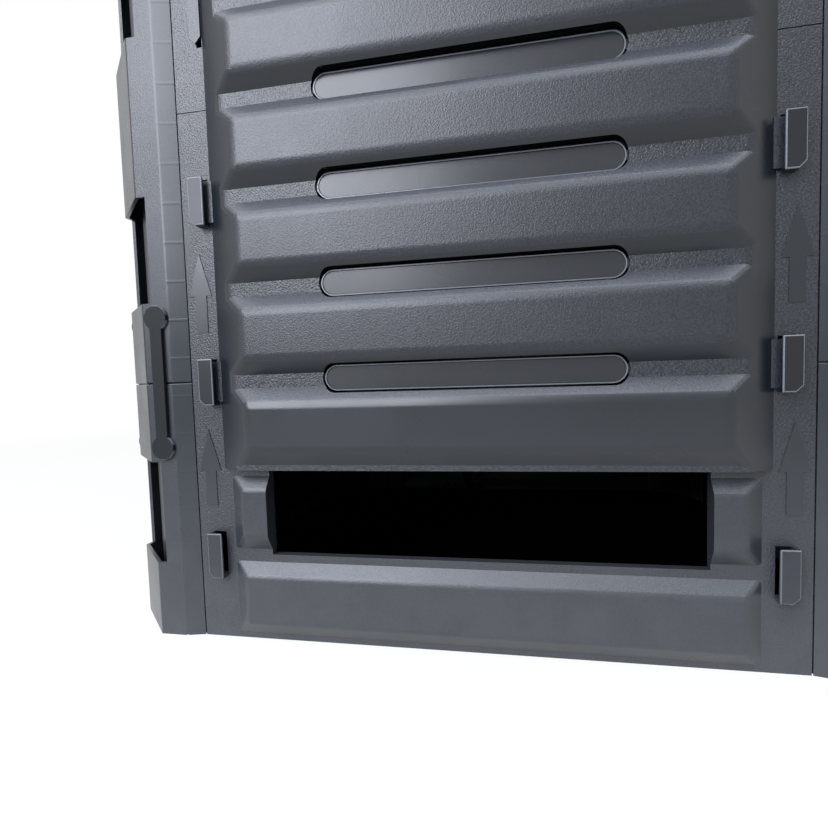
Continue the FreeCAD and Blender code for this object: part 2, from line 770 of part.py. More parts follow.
def flap_right():
    """Right lid flap: plate with pads, turned-down edges, hinge knuckles and a finger grip."""
    top = FLAP_Z + FLAP_T
    plate = box(FLAP_X0, FLAP_X1, -FLAP_Y, FLAP_Y, FLAP_Z, top)
    lip_outer = box(FLAP_X0, FLAP_X1, -FLAP_Y, FLAP_Y, FLAP_Z - FLAP_LIP_H, FLAP_Z + EPS)
    lip_inner = box(FLAP_X0 - CUT_OVER, FLAP_X1 - FLAP_T, -FLAP_Y + FLAP_T, FLAP_Y - FLAP_T,
                    FLAP_Z - FLAP_LIP_H - CUT_OVER, FLAP_Z + CUT_OVER)
    grip = box(FLAP_X1 - FLAP_T, FLAP_X1 + GRIP_OUT, -GRIP_HALF, GRIP_HALF,
               FLAP_Z - FLAP_T, FLAP_Z + EPS)
    pads, hollows = flap_pads()
    shell = cut_all(fuse_all([plate, lip_outer.cut(lip_inner)] + pads), hollows)
    parts = [shell, grip]
    for y in HINGE_YS:
        parts.append(cylinder(KNUCKLE_R, (HINGE_X, y - KNUCKLE_HALF, HINGE_Z), (0, 1, 0),
                              2 * KNUCKLE_HALF))
        parts.append(box(HINGE_X, FLAP_X0 + FLAP_T, y - KNUCKLE_HALF, y + KNUCKLE_HALF, FLAP_Z, top))
    bore = cylinder(LOCK_SHAFT_D / 2 + LOCK_BORE_CLEAR, (LOCK_X, 0, FLAP_Z - CUT_OVER), (0, 0, 1),
                    FLAP_T + 2 * CUT_OVER)
    return cut_all(fuse_all(parts), hinge_bore(1) + [bore])


def hinge_pins_right():
    """The two headed pins of the right flap."""
    pins = []
    for y in HINGE_YS:
        reach = KNUCKLE_HALF + FIT + LUG_T
        start = y - reach - FIT
        shank = cylinder(PIN_D / 2, (HINGE_X, start - EPS, HINGE_Z), (0, 1, 0), 2 * reach + 2 * FIT)
        head = cylinder(PIN_HEAD_D / 2, (HINGE_X, start - PIN_HEAD_T, HINGE_Z), (0, 1, 0), PIN_HEAD_T)
        pins.append(fuse_all([shank, head]))
    return Part.Compound(pins)


def lock_knob_right():
    """Turn knob of the right flap with its shaft down through the plate."""
    base = FLAP_Z + FLAP_T + FIT
    square_z = DECK_Z - LOCK_TONGUE_DROP - LOCK_TONGUE_T
    cap = cylinder(LOCK_CAP_D / 2, (LOCK_X, 0, base), (0, 0, 1), LOCK_CAP_T)
    grip_half = LOCK_CAP_D / 2 - LOCK_GRIP_INSET
    grip = box(LOCK_X - LOCK_GRIP_W / 2, LOCK_X + LOCK_GRIP_W / 2, -grip_half, grip_half,
               base, base + LOCK_CAP_T + LOCK_GRIP_H)
    shaft = cylinder(LOCK_SHAFT_D / 2, (LOCK_X, 0, square_z + LOCK_TONGUE_T), (0, 0, 1),
                     base - square_z - LOCK_TONGUE_T + EPS)
    half = LOCK_SQUARE / 2
    square = box(LOCK_X - half, LOCK_X + half, -half, half, square_z, square_z + LOCK_TONGUE_T + EPS)
    pilot = cylinder(SCREW_D / 2 + PIN_CLEAR, (LOCK_X, 0, square_z - CUT_OVER), (0, 0, 1),
                     SCREW_L + 2 * CUT_OVER)
    return fuse_all([cap, grip, shaft, square]).cut(pilot)


def lock_tongue_right():
    """Bar on the square end of the knob, which turns under the deck to lock the flap."""
    top = DECK_Z - LOCK_TONGUE_DROP
    bar = box(LOCK_X - LOCK_TONGUE_W / 2, LOCK_X + LOCK_TONGUE_W / 2,
              -LOCK_TONGUE_L / 2, LOCK_TONGUE_L / 2, top - LOCK_TONGUE_T, top)
    half = LOCK_SQUARE / 2 + PIN_CLEAR
    hole = box(LOCK_X - half, LOCK_X + half, -half, half,
               top - LOCK_TONGUE_T - CUT_OVER, top + CUT_OVER)
    return bar.cut(hole)


def lock_screw_right():
    """Screw that holds the bar on the knob."""
    seat = DECK_Z - LOCK_TONGUE_DROP - LOCK_TONGUE_T
    head = cylinder(SCREW_HEAD_D / 2, (LOCK_X, 0, seat - SCREW_HEAD_T), (0, 0, 1), SCREW_HEAD_T)
    shank = cylinder(SCREW_D / 2, (LOCK_X, 0, seat - EPS), (0, 0, 1), SCREW_L + EPS)
    return fuse_all([head, shank])


SIDES = ("front", "right", "back", "left")
CORNERS = ("front_right", "back_right", "back_left", "front_left")
SEAM_ZS = (TIER_H / 2, TIER_H * 3 / 2)


def post_pieces():
    """The three stacked pieces of the front right post."""
    foot_h = TIER_H / 2 - WINDOW_H - HALF_BRIDGE_H
    bridge_h = TIER_H - 2 * (HALF_BRIDGE_H + WINDOW_H)
    lower_rows = (("skin", foot_h), ("window", WINDOW_H), ("skin", HALF_BRIDGE_H))
    middle_rows = (("skin", HALF_BRIDGE_H), ("window", WINDOW_H), ("skin", bridge_h),
                   ("window", WINDOW_H), ("skin", HALF_BRIDGE_H))
    low_seam, high_seam = SEAM_ZS
    lower = post(0.0, low_seam, post_windows(0.0, lower_rows), True, [low_seam - CLIP_REACH])
    middle = post(low_seam, high_seam, post_windows(low_seam, middle_rows), True,
                  [low_seam + CLIP_REACH, high_seam - CLIP_REACH])
    upper = post(high_seam, BODY_H, post_windows(high_seam, lower_rows[::-1]), False,
                 [high_seam + CLIP_REACH])
    return {"foot": lower, "middle": middle, "top": upper}


def build():
    """Every piece of the bin, by name."""
    pieces = {}
    lower = plain_wall(0)
    upper = plain_wall(1)
    for quarter, side in enumerate(SIDES):
        if side == "front":
            pieces["wall_front_lower"] = front_lower_wall()
        else:
            pieces["wall_" + side + "_lower"] = quarter_turned(lower, quarter)
        pieces["wall_" + side + "_upper"] = quarter_turned(upper, quarter)
    posts = post_pieces()
    clips = {"low": clip_pair(SEAM_ZS[0]), "high": clip_pair(SEAM_ZS[1])}
    for quarter, corner in enumerate(CORNERS):
        for name, shape in posts.items():
            pieces["post_" + corner + "_" + name] = quarter_turned(shape, quarter)
        for name, shape in clips.items():
            pieces["clips_" + corner + "_" + name] = quarter_turned(shape, quarter)
    pieces["raking_door"] = door()
    pieces["lid_frame"] = lid_frame()
    handed = {
        "lid_flap": flap_right(),
        "hinge_pins": hinge_pins_right(),
        "lock_knob": lock_knob_right(),
        "lock_tongue": lock_tongue_right(),
        "lock_screw": lock_screw_right(),
    }
    for name, shape in handed.items():
        pieces[name + "_right"] = shape
        pieces[name + "_left"] = mirrored(shape)
    return pieces


os.makedirs("parts", exist_ok=True)
for piece_name, piece in build().items():
    piece.exportStep(os.path.join("parts", piece_name + ".step"))
    print(piece_name, len(piece.Solids), round(piece.Volume / 1000.0, 1), piece.isValid())
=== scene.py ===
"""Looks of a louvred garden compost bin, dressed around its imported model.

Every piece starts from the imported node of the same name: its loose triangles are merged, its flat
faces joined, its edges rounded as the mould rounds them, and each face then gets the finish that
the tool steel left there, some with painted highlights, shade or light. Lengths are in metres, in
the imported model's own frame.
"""

import json
import logging
import math
from collections.abc import Callable
from dataclasses import dataclass, field
from enum import Enum

import bmesh
import bpy
from mathutils import Matrix, Vector


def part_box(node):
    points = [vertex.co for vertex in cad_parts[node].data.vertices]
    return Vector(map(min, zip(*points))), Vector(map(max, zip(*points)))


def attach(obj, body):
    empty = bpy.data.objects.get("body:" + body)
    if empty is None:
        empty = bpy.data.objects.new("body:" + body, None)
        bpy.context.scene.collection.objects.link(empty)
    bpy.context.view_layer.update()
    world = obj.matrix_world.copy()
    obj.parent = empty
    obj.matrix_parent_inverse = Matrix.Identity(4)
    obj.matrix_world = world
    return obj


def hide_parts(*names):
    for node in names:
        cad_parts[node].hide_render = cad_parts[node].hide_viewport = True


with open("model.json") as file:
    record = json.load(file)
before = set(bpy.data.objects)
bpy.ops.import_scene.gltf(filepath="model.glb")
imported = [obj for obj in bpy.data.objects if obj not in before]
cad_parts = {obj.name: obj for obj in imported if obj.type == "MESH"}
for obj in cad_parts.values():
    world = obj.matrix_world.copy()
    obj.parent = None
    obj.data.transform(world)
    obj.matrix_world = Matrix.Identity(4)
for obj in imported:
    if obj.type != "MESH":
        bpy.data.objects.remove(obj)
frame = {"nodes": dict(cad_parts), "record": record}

# Blender's types that many signatures name
Material = bpy.types.Material
Socket = bpy.types.NodeSocket
Edge = bmesh.types.BMEdge

LOG = logging.getLogger("compost_bin")
MM = 0.001
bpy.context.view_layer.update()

# Settings of a Map Range node for the range in which nearly all values of a noise lie
NOISE_RANGE = {"From Min": 0.3, "From Max": 0.7}
# Scale at which a wave texture has one band a metre
BAND_A_METRE = math.pi / 10
# How far the painted shade at a grain's foot and the painted glint on its crown go from the mean
# colour, for each unit of painted grain light
FOOT_SHADE, CROWN_SHADE = -2, 4
# Settings of a Mix node for colours, and the numbers of its sockets
COLOUR_MIX = {"data_type": "RGBA", "clamp_factor": True}
MIX_SHARE, MIX_FIRST, MIX_SECOND, MIX_RESULT = 0, 6, 7, 2
# Cosines of a face's angle from the outward direction of its wall
FLAT, FACING, SLOPING, SIDEWAYS = 0.99, 0.9, 0.5, 0.3


class Side(Enum):
    """The four sides of the bin, by the outward direction of their wall."""

    FRONT = (0.0, -1.0)
    RIGHT = (1.0, 0.0)
    BACK = (0.0, 1.0)
    LEFT = (-1.0, 0.0)

    @property
    def outward(self) -> Vector:
        """Unit vector out of the wall."""
        return Vector((self.value[0], self.value[1], 0.0))

    @property
    def label(self) -> str:
        """Word that the node names use for the side."""
        return self.name.lower()


class Element(Enum):
    """What edit mode selects, by the name that bpy.ops gives it."""

    FACE = "FACE"
    EDGE = "EDGE"


class Surface(Enum):
    """What a face is, from a polished insert of the mould to a grained one, and other stuff."""

    POLISHED = "polished"
    DRAWN = "drawn"
    SATIN = "satin"
    INSERT = "insert"
    FINE = "fine"
    SETTLED = "settled"
    ERODED = "eroded"
    BURNISHED = "burnished"
    SLOT = "slot"
    CLIP = "clip"
    STEEL = "steel"


def linear(hex_colour: str) -> tuple[float, float, float, float]:
    """Turns an sRGB hex value to a linear colour.

    Args:
        hex_colour: Six hex digits, such as "3a3d42".

    Returns:
        Linear red, green and blue, with an alpha of one.
    """
    channels = []
    for start in (0, 2, 4):
        value = int(hex_colour[start:start + 2], 16) / 255
        channels.append(value / 12.92 if value <= 0.04045 else ((value + 0.055) / 1.055) ** 2.4)
    return (channels[0], channels[1], channels[2], 1.0)


def empty_material(name: str) -> Material:
    """Makes a material without nodes.

    Args:
        name: Name of the material.

    Returns:
        The material.
    """
    material = bpy.data.materials.new(name)
    material.use_nodes = True
    material.node_tree.nodes.clear()
    return material


def add_node(
    material: Material | bpy.types.World,
    kind: str,
    settings: dict[str, object] | None = None,
    links: dict[str | int, Socket] | None = None,
) -> bpy.types.Node:
    """Adds one node with its settings and its incoming links.

    Args:
        material: Material or world whose tree gets the node.
        kind: Blender's name of the node type.
        settings: Attributes, or input sockets by name, with the value of each.
        links: Input sockets by name or number, with the output socket that feeds each.

    Returns:
        The new node.
    """
    tree = material.node_tree
    node = tree.nodes.new(kind)
    for name, value in (settings or {}).items():
        if name in node.inputs:
            node.inputs[name].default_value = value
        else:
            setattr(node, name, value)
    for name, source in (links or {}).items():
        tree.links.new(source, node.inputs[name])
    return node


def add_sight(material: Material | bpy.types.World) -> Socket:
    """Adds a value that is one for what the camera sees, straight, mirrored or through glass.

    Args:
        material: Material or world whose tree gets the nodes.

    Returns:
        One for such rays and zero for the rays that light things.
    """
    path = add_node(material, "ShaderNodeLightPath")
    sight = path.outputs["Is Camera Ray"]
    for kind in ("Is Glossy Ray", "Is Transmission Ray"):
        either = {0: sight, 1: path.outputs[kind]}
        sight = add_node(material, "ShaderNodeMath", {"operation": "MAXIMUM"}, either).outputs[0]
    return sight


@dataclass(frozen=True)
class Finish:
    """A plastic coloured in the mass, or a metal, as one tool texture leaves it.

    Args (fields):
        name: Name of the material.
        colour: Colour as sRGB hex.
        roughness: Mean roughness.
        grain_mm: Size of one grain of the tool texture.
        grain_depth: Share of the grain's full height, from 0 to 1.
        painted_grain_light: How far a grain's crown is painted paler than its foot: a painted glint
            on the crown and painted shade at the foot.
        cloud_mm: Size of the soft patches of sheen.
        cloud: How far the patches change the roughness.
        line_mm: Spacing of faint level lines left by the cutter, or 0 for none.
        line_start: Height of a wave, from 0 to 1, over which such a line shows.
        line_relief_mm: Height of such a line.
        ior: Index of refraction.
        specular: Level of the mirrored part, 0.5 for a clean surface and less for a matt one.
        metallic: 1 for a metal.
        relief_mm: Full height of the grain.
        floor_light: Colour painted near the ground as light reflected from the floor, as sRGB hex.
        floor_light_share: Share of that colour at the ground.
        floor_light_height_mm: Height at which the painted floor light ends.
        patch_mm: Size of the patches in the painted floor light.
        patch_least: Share of the painted floor light that the thinnest patch keeps.
        fleck: Range of the grain's height over which a foot turns to a crown.
        details: Finer octaves of the grain, of the sheen's patches and of the painted floor
            light's.
        octave: Share of its height that a noise hands on to its next finer octave.
    """

    name: str
    colour: str = "1f2327"
    roughness: float = 0.34
    grain_mm: float = 1.0
    grain_depth: float = 0.25
    painted_grain_light: float = 0.05
    cloud_mm: float = 60.0
    cloud: float = 0.04
    line_mm: float = 0.0
    line_start: float = 0.98
    line_relief_mm: float = 0.05
    ior: float = 1.50
    specular: float = 0.5
    metallic: float = 0.0
    relief_mm: float = 0.3
    floor_light: str = "4a4c4f"
    floor_light_share: float = 0.75
    floor_light_height_mm: float = 170.0
    patch_mm: float = 25.0
    patch_least: float = 0.75
    fleck: tuple[float, float] = (0.35, 0.65)
    details: tuple[float, float, float] = (2.0, 3.0, 4.0)
    octave: float = 0.6

    def shade(self, factor: float) -> tuple[float, float, float, float]:
        """The colour, made paler or darker by a factor."""
        return tuple(min(1.0, channel * factor) for channel in linear(self.colour)[:3]) + (1.0,)

    def bumps(self, material: Material, place: Socket, grain: Socket) -> Socket:
        """Adds the relief of the grain and of the cutter's lines.

        Args:
            material: Material whose tree gets the nodes.
            place: Coordinates in metres.
            grain: Height of the grain.

        Returns:
            The bumped normal.
        """
        bump = add_node(
            material,
            "ShaderNodeBump",
            {"Strength": self.grain_depth, "Distance": self.relief_mm * MM},
            {"Height": grain},
        )
        if not self.line_mm:
            return bump.outputs["Normal"]
        wave = add_node(
            material,
            "ShaderNodeTexWave",
            {"bands_direction": "Z", "Scale": BAND_A_METRE / (self.line_mm * MM)},
            {"Vector": place},
        )
        line = add_node(
            material,
            "ShaderNodeMapRange",
            {"From Min": self.line_start},
            {"Value": wave.outputs["Fac"]},
        )
        lines = add_node(
            material,
            "ShaderNodeBump",
            {"Strength": 1.0, "Distance": self.line_relief_mm * MM},
            {"Height": line.outputs["Result"], "Normal": bump.outputs["Normal"]},
        )
        return lines.outputs["Normal"]

    def add_floor_light(self, material: Material, place: Socket, clean: Socket,
               patches: Socket) -> Socket:
        """Adds a film of dust that thins out upwards, in soft uneven patches.

        Args:
            material: Material whose tree gets the nodes.
            place: Coordinates in metres.
            clean: Colour without the painted floor light.
            patches: Noise of the patches.

        Returns:
            The colour with the painted floor light.
        """
        height = add_node(material, "ShaderNodeSeparateXYZ", {}, {"Vector": place}).outputs["Z"]
        low = add_node(
            material,
            "ShaderNodeMapRange",
            {"From Max": self.floor_light_height_mm * MM, "To Min": self.floor_light_share, "To Max": 0.0},
            {"Value": height},
        )
        cover = add_node(
            material,
            "ShaderNodeMapRange",
            NOISE_RANGE | {"To Min": self.patch_least},
            {"Value": patches},
        )
        amount = add_node(
            material, "ShaderNodeMath", {"operation": "MULTIPLY"},
            {0: low.outputs["Result"], 1: cover.outputs["Result"]})
        mix = add_node(
            material, "ShaderNodeMix", COLOUR_MIX, {MIX_SHARE: amount.outputs[0], MIX_FIRST: clean})
        mix.inputs[MIX_SECOND].default_value = linear(self.floor_light)
        return mix.outputs[MIX_RESULT]

    def build(self) -> Material:
        """Makes the material.

        Returns:
            The finished material.
        """
        material = empty_material(self.name)
        place = add_node(material, "ShaderNodeTexCoord").outputs["Object"]
        sizes = (self.grain_mm, self.cloud_mm, self.patch_mm)
        grain, cloud, patches = [
            add_node(
                material,
                "ShaderNodeTexNoise",
                {"Scale": 1.0 / (size * MM), "Detail": detail, "Roughness": self.octave},
                {"Vector": place},
            ).outputs["Fac"]
            for size, detail in zip(sizes, self.details)
        ]
        sheen = add_node(
            material,
            "ShaderNodeMapRange",
            NOISE_RANGE | {"To Min": self.roughness - self.cloud,
                           "To Max": self.roughness + self.cloud},
            {"Value": cloud},
        )
        speckle = add_node(
            material,
            "ShaderNodeMapRange",
            {"From Min": self.fleck[0], "From Max": self.fleck[1]},
            {"Value": grain},
        )
        # Grain crowns get a painted glint and grain feet painted shade.
        colour = add_node(
            material, "ShaderNodeMix", COLOUR_MIX, {MIX_SHARE: speckle.outputs["Result"]})
        colour.inputs[MIX_FIRST].default_value = self.shade(1 + FOOT_SHADE * self.painted_grain_light)
        colour.inputs[MIX_SECOND].default_value = self.shade(1 + CROWN_SHADE * self.painted_grain_light)
        # Painted light from the floor: paler towards the ground, in soft patches.
        floor_lit = self.add_floor_light(material, place, colour.outputs[MIX_RESULT], patches)
        shader = add_node(
            material,
            "ShaderNodeBsdfPrincipled",
            {"IOR": self.ior, "Specular IOR Level": self.specular, "Metallic": self.metallic},
            {
                "Base Color": floor_lit,
                "Roughness": sheen.outputs["Result"],
                "Normal": self.bumps(material, place, grain),
            },
        )
        add_node(material, "ShaderNodeOutputMaterial", {}, {"Surface": shader.outputs["BSDF"]})
        return material


FINISHES = {
    # Bare tool steel, hand polished: the pans show soft but clear reflections.
    Surface.POLISHED: Finish(
        "polypropylene_polished_tool", "1b1e23", roughness=0.27, grain_mm=5.0, grain_depth=0.03,
        painted_grain_light=0.0, cloud=0.03),
    # Tool steel polished along its length: a cold sheen with faint level lines of the cutter.
    Surface.DRAWN: Finish(
        "polypropylene_drawn_polish", "192026", roughness=0.26, grain_mm=4.0, grain_depth=0.03,
        painted_grain_light=0.0, cloud=0.03, line_mm=28.0),
    # Stoned tool steel: slopes and arrows have an even sheen with hardly any grain.
    Surface.SATIN: Finish(
        "polypropylene_satin_tool", "171b20", roughness=0.30, grain_mm=1.6, grain_depth=0.06,
        painted_grain_light=0.02),
    # Smooth inserts of the tool: the hooks are a little darker than the grained strips.
    Surface.INSERT: Finish(
        "polypropylene_tool_insert", "13161a", roughness=0.32, grain_mm=1.6, grain_depth=0.06,
        painted_grain_light=0.0, specular=0.38),
    # Fine etched grain: the louvres glitter softly, with painted glints on the grain's crowns. The
    # real grain is near 0.3 mm across, and is drawn three times as coarse to show.
    Surface.FINE: Finish(
        "polypropylene_fine_grain", "1a1d23", roughness=0.34, grain_mm=0.95, grain_depth=0.7,
        painted_grain_light=0.18),
    # The same grain, painted paler on slopes that face up as light from above, and a little duller.
    Surface.SETTLED: Finish(
        "polypropylene_dusty_grain", "313439", roughness=0.36, grain_mm=0.95, grain_depth=0.7,
        painted_grain_light=0.14),
    # Spark-eroded tool: strips and groove floors sparkle like coarse sand, with strong painted
    # glints on the grain's crowns and painted shade at its feet. Also drawn coarser.
    Surface.ERODED: Finish(
        "polypropylene_eroded_grain", "1a1d22", roughness=0.30, grain_mm=1.2, grain_depth=1.0,
        painted_grain_light=0.32, relief_mm=0.45),
    # Painted highlights: rounded edges of hooks and clips, and the rims round the pans, are painted
    # pale and glossy to show as thin bright lines.
    Surface.BURNISHED: Finish(
        "polypropylene_burnished_edge", "62676e", roughness=0.25, grain_mm=4.0, grain_depth=0.0,
        painted_grain_light=0.0, cloud=0.02),
    # Walls of the narrow slots and plates behind them, painted near black and matt as shade, with
    # almost
    # no reflection: they stay black.
    Surface.SLOT: Finish(
        "polypropylene_slot_wall", "08090a", roughness=0.6, grain_mm=2.0, grain_depth=0.0,
        painted_grain_light=0.0, cloud=0.0, ior=1.05),
    # Moulded acetal: the clips are darker and duller than the posts.
    Surface.CLIP: Finish(
        "acetal_clip", "131619", roughness=0.48, grain_mm=1.4, grain_depth=0.04, painted_grain_light=0.0,
        cloud=0.02, ior=1.48, specular=0.2, floor_light_share=0.3),
    # Zinc-plated steel: the lock screws are pale and softly bright.
    Surface.STEEL: Finish(
        "zinc_plated_steel", "b4b8bc", roughness=0.34, grain_mm=0.6, grain_depth=0.05,
        painted_grain_light=0.0, metallic=1.0),
}


def deselect_all() -> None:
    """Leaves nothing selected, in object mode."""
    if bpy.context.object and bpy.context.object.mode != "OBJECT":
        bpy.ops.object.mode_set(mode="OBJECT")
    bpy.ops.object.select_all(action="DESELECT")


def activate(piece: bpy.types.Object) -> None:
    """Makes one object the only selected and the active one.

    Args:
        piece: The object.
    """
    deselect_all()
    piece.select_set(True)
    bpy.context.view_layer.objects.active = piece


def select_in(piece: bpy.types.Object, element: Element, test: Callable[[object], bool]) -> int:
    """Enters edit mode with only the faces or edges that pass a test selected.

    Args:
        piece: The object.
        element: Faces or edges.
        test: Test of one of them.

    Returns:
        How many are selected.
    """
    activate(piece)
    bpy.ops.object.mode_set(mode="EDIT")
    bpy.ops.mesh.select_all(action="DESELECT")
    bpy.ops.mesh.select_mode(type=element.value)
    shape = bmesh.from_edit_mesh(piece.data)
    elements = shape.faces if element is Element.FACE else shape.edges
    chosen = [one for one in elements if test(one)]
    for one in chosen:
        one.select_set(True)
    bmesh.update_edit_mesh(piece.data)
    return len(chosen)


def beside_large_faces(edge: Edge, side: float) -> bool:
    """Says whether both faces beside an edge are larger than a square of a given side."""
    return min(face.calc_area() for face in edge.link_faces) > side ** 2


def middle_of(edge: Edge) -> Vector:
    """Middle of an edge."""
    return (edge.verts[0].co + edge.verts[1].co) / 2


def faces_out(edge: Edge, least: float) -> bool:
    """Says whether both faces beside an edge look away from the bin's upright axis.

    Args:
        edge: The edge.
        least: Least product of a face's normal and the edge's distance from the axis.

    Returns:
        True if they do.
    """
    middle = middle_of(edge)
    away = Vector((middle.x, middle.y, 0.0))
    return all(face.normal.dot(away) > least for face in edge.link_faces)


@dataclass
class Rounding:
    """One pass of edge rounding. Without a test, its width shrinks where there is no room.

    Args (fields):
        width: Width of the rounded edge.
        least: Smallest angle between the two faces, in degrees, that gets it.
        most: Largest such angle.
        segments: Facets across the rounding.
        where: Test of the edge, or None for all edges.
    """

    width: float
    least: float
    most: float = 180.0
    segments: int = 3
    where: Callable[[Edge], bool] | None = None

    def takes(self, edge: Edge) -> bool:
        """Says whether the pass rounds an edge.

        Args:
            edge: The edge.

        Returns:
            True if it does.
        """
        if len(edge.link_faces) != 2:
            return False
        angle = math.degrees(edge.calc_face_angle(0.0))
        if not self.least <= angle <= self.most:
            return False
        return self.where is None or self.where(edge)


@dataclass
class MouldedPiece:
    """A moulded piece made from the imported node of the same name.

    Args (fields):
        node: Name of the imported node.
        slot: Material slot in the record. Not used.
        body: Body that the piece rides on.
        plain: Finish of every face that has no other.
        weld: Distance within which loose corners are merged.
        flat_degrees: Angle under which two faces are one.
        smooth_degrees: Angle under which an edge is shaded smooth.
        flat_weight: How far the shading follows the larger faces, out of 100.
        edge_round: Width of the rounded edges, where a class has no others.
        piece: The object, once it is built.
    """

    node: str
    slot: str
    body: str
    plain: Surface = Surface.FINE
    weld: float = 0.004 * MM
    flat_degrees: float = 0.5
    smooth_degrees: float = 32.0
    flat_weight: int = 90
    edge_round: float = 0.5 * MM
    piece: bpy.types.Object | None = field(init=False, default=None)

    def build(self, materials: dict[Surface, Material]) -> bpy.types.Object:
        """Copies, cleans, details, rounds and dresses the piece, and puts it on its body.

        Args:
            materials: The finishes.

        Returns:
            The finished object.
        """
        source = frame["nodes"][self.node]
        self.piece = bpy.data.objects.new(self.node + "_moulding", source.data.copy())
        bpy.context.scene.collection.objects.link(self.piece)
        self.merge()
        self.detail()
        for rounding in self.roundings():
            self.round_edges(rounding)
        self.dress(materials)
        self.smooth()
        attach(self.piece, self.body)
        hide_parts(self.node)
        return self.piece

    def roundings(self) -> tuple[Rounding, ...]:
        """Passes of edge rounding, the softest first."""
        return (Rounding(self.edge_round, least=40.0),)

    def detail(self) -> None:
        """Works finer forms into the mesh. A plain piece has none."""

    def merge(self) -> None:
        """Merges the loose triangles and joins them into flat faces."""
        activate(self.piece)
        bpy.ops.object.mode_set(mode="EDIT")
        bpy.ops.mesh.select_all(action="SELECT")
        bpy.ops.mesh.remove_doubles(threshold=self.weld)
        bpy.ops.mesh.dissolve_limited(angle_limit=math.radians(self.flat_degrees))
        bpy.ops.object.mode_set(mode="OBJECT")

    def round_edges(self, rounding: Rounding) -> None:
        """Rounds the edges that a pass chooses.

        Args:
            rounding: The pass.
        """
        if select_in(self.piece, Element.EDGE, rounding.takes):
            bpy.ops.mesh.bevel(
                offset_type="OFFSET",
                offset=rounding.width,
                segments=rounding.segments,
                affect="EDGES",
                clamp_overlap=rounding.where is None,
                loop_slide=True,
            )
        bpy.ops.object.mode_set(mode="OBJECT")

    def surface_of(self, centre: Vector, normal: Vector) -> Surface:
        """Picks the finish of a face.

        Args:
            centre: Middle of the face.
            normal: Direction of the face.

        Returns:
            Its finish.
        """
        return self.plain

    def dress(self, materials: dict[Surface, Material]) -> None:
        """Gives each face its finish.

        Args:
            materials: The finishes.
        """
        mesh = self.piece.data
        mesh.materials.clear()
        used = []
        for face in mesh.polygons:
            surface = self.surface_of(face.center, face.normal)
            if surface not in used:
                used.append(surface)
                mesh.materials.append(materials[surface])
            face.material_index = used.index(surface)

    def smooth(self) -> None:
        """Smooth shading over the roundings, with the flats kept flat."""
        activate(self.piece)
        bpy.ops.object.shade_smooth_by_angle(angle=math.radians(self.smooth_degrees))
        weigh = self.piece.modifiers.new("flats", "WEIGHTED_NORMAL")
        weigh.mode = "FACE_AREA"
        weigh.weight = self.flat_weight
        weigh.keep_sharp = True
        bpy.ops.object.modifier_apply(modifier=weigh.name)


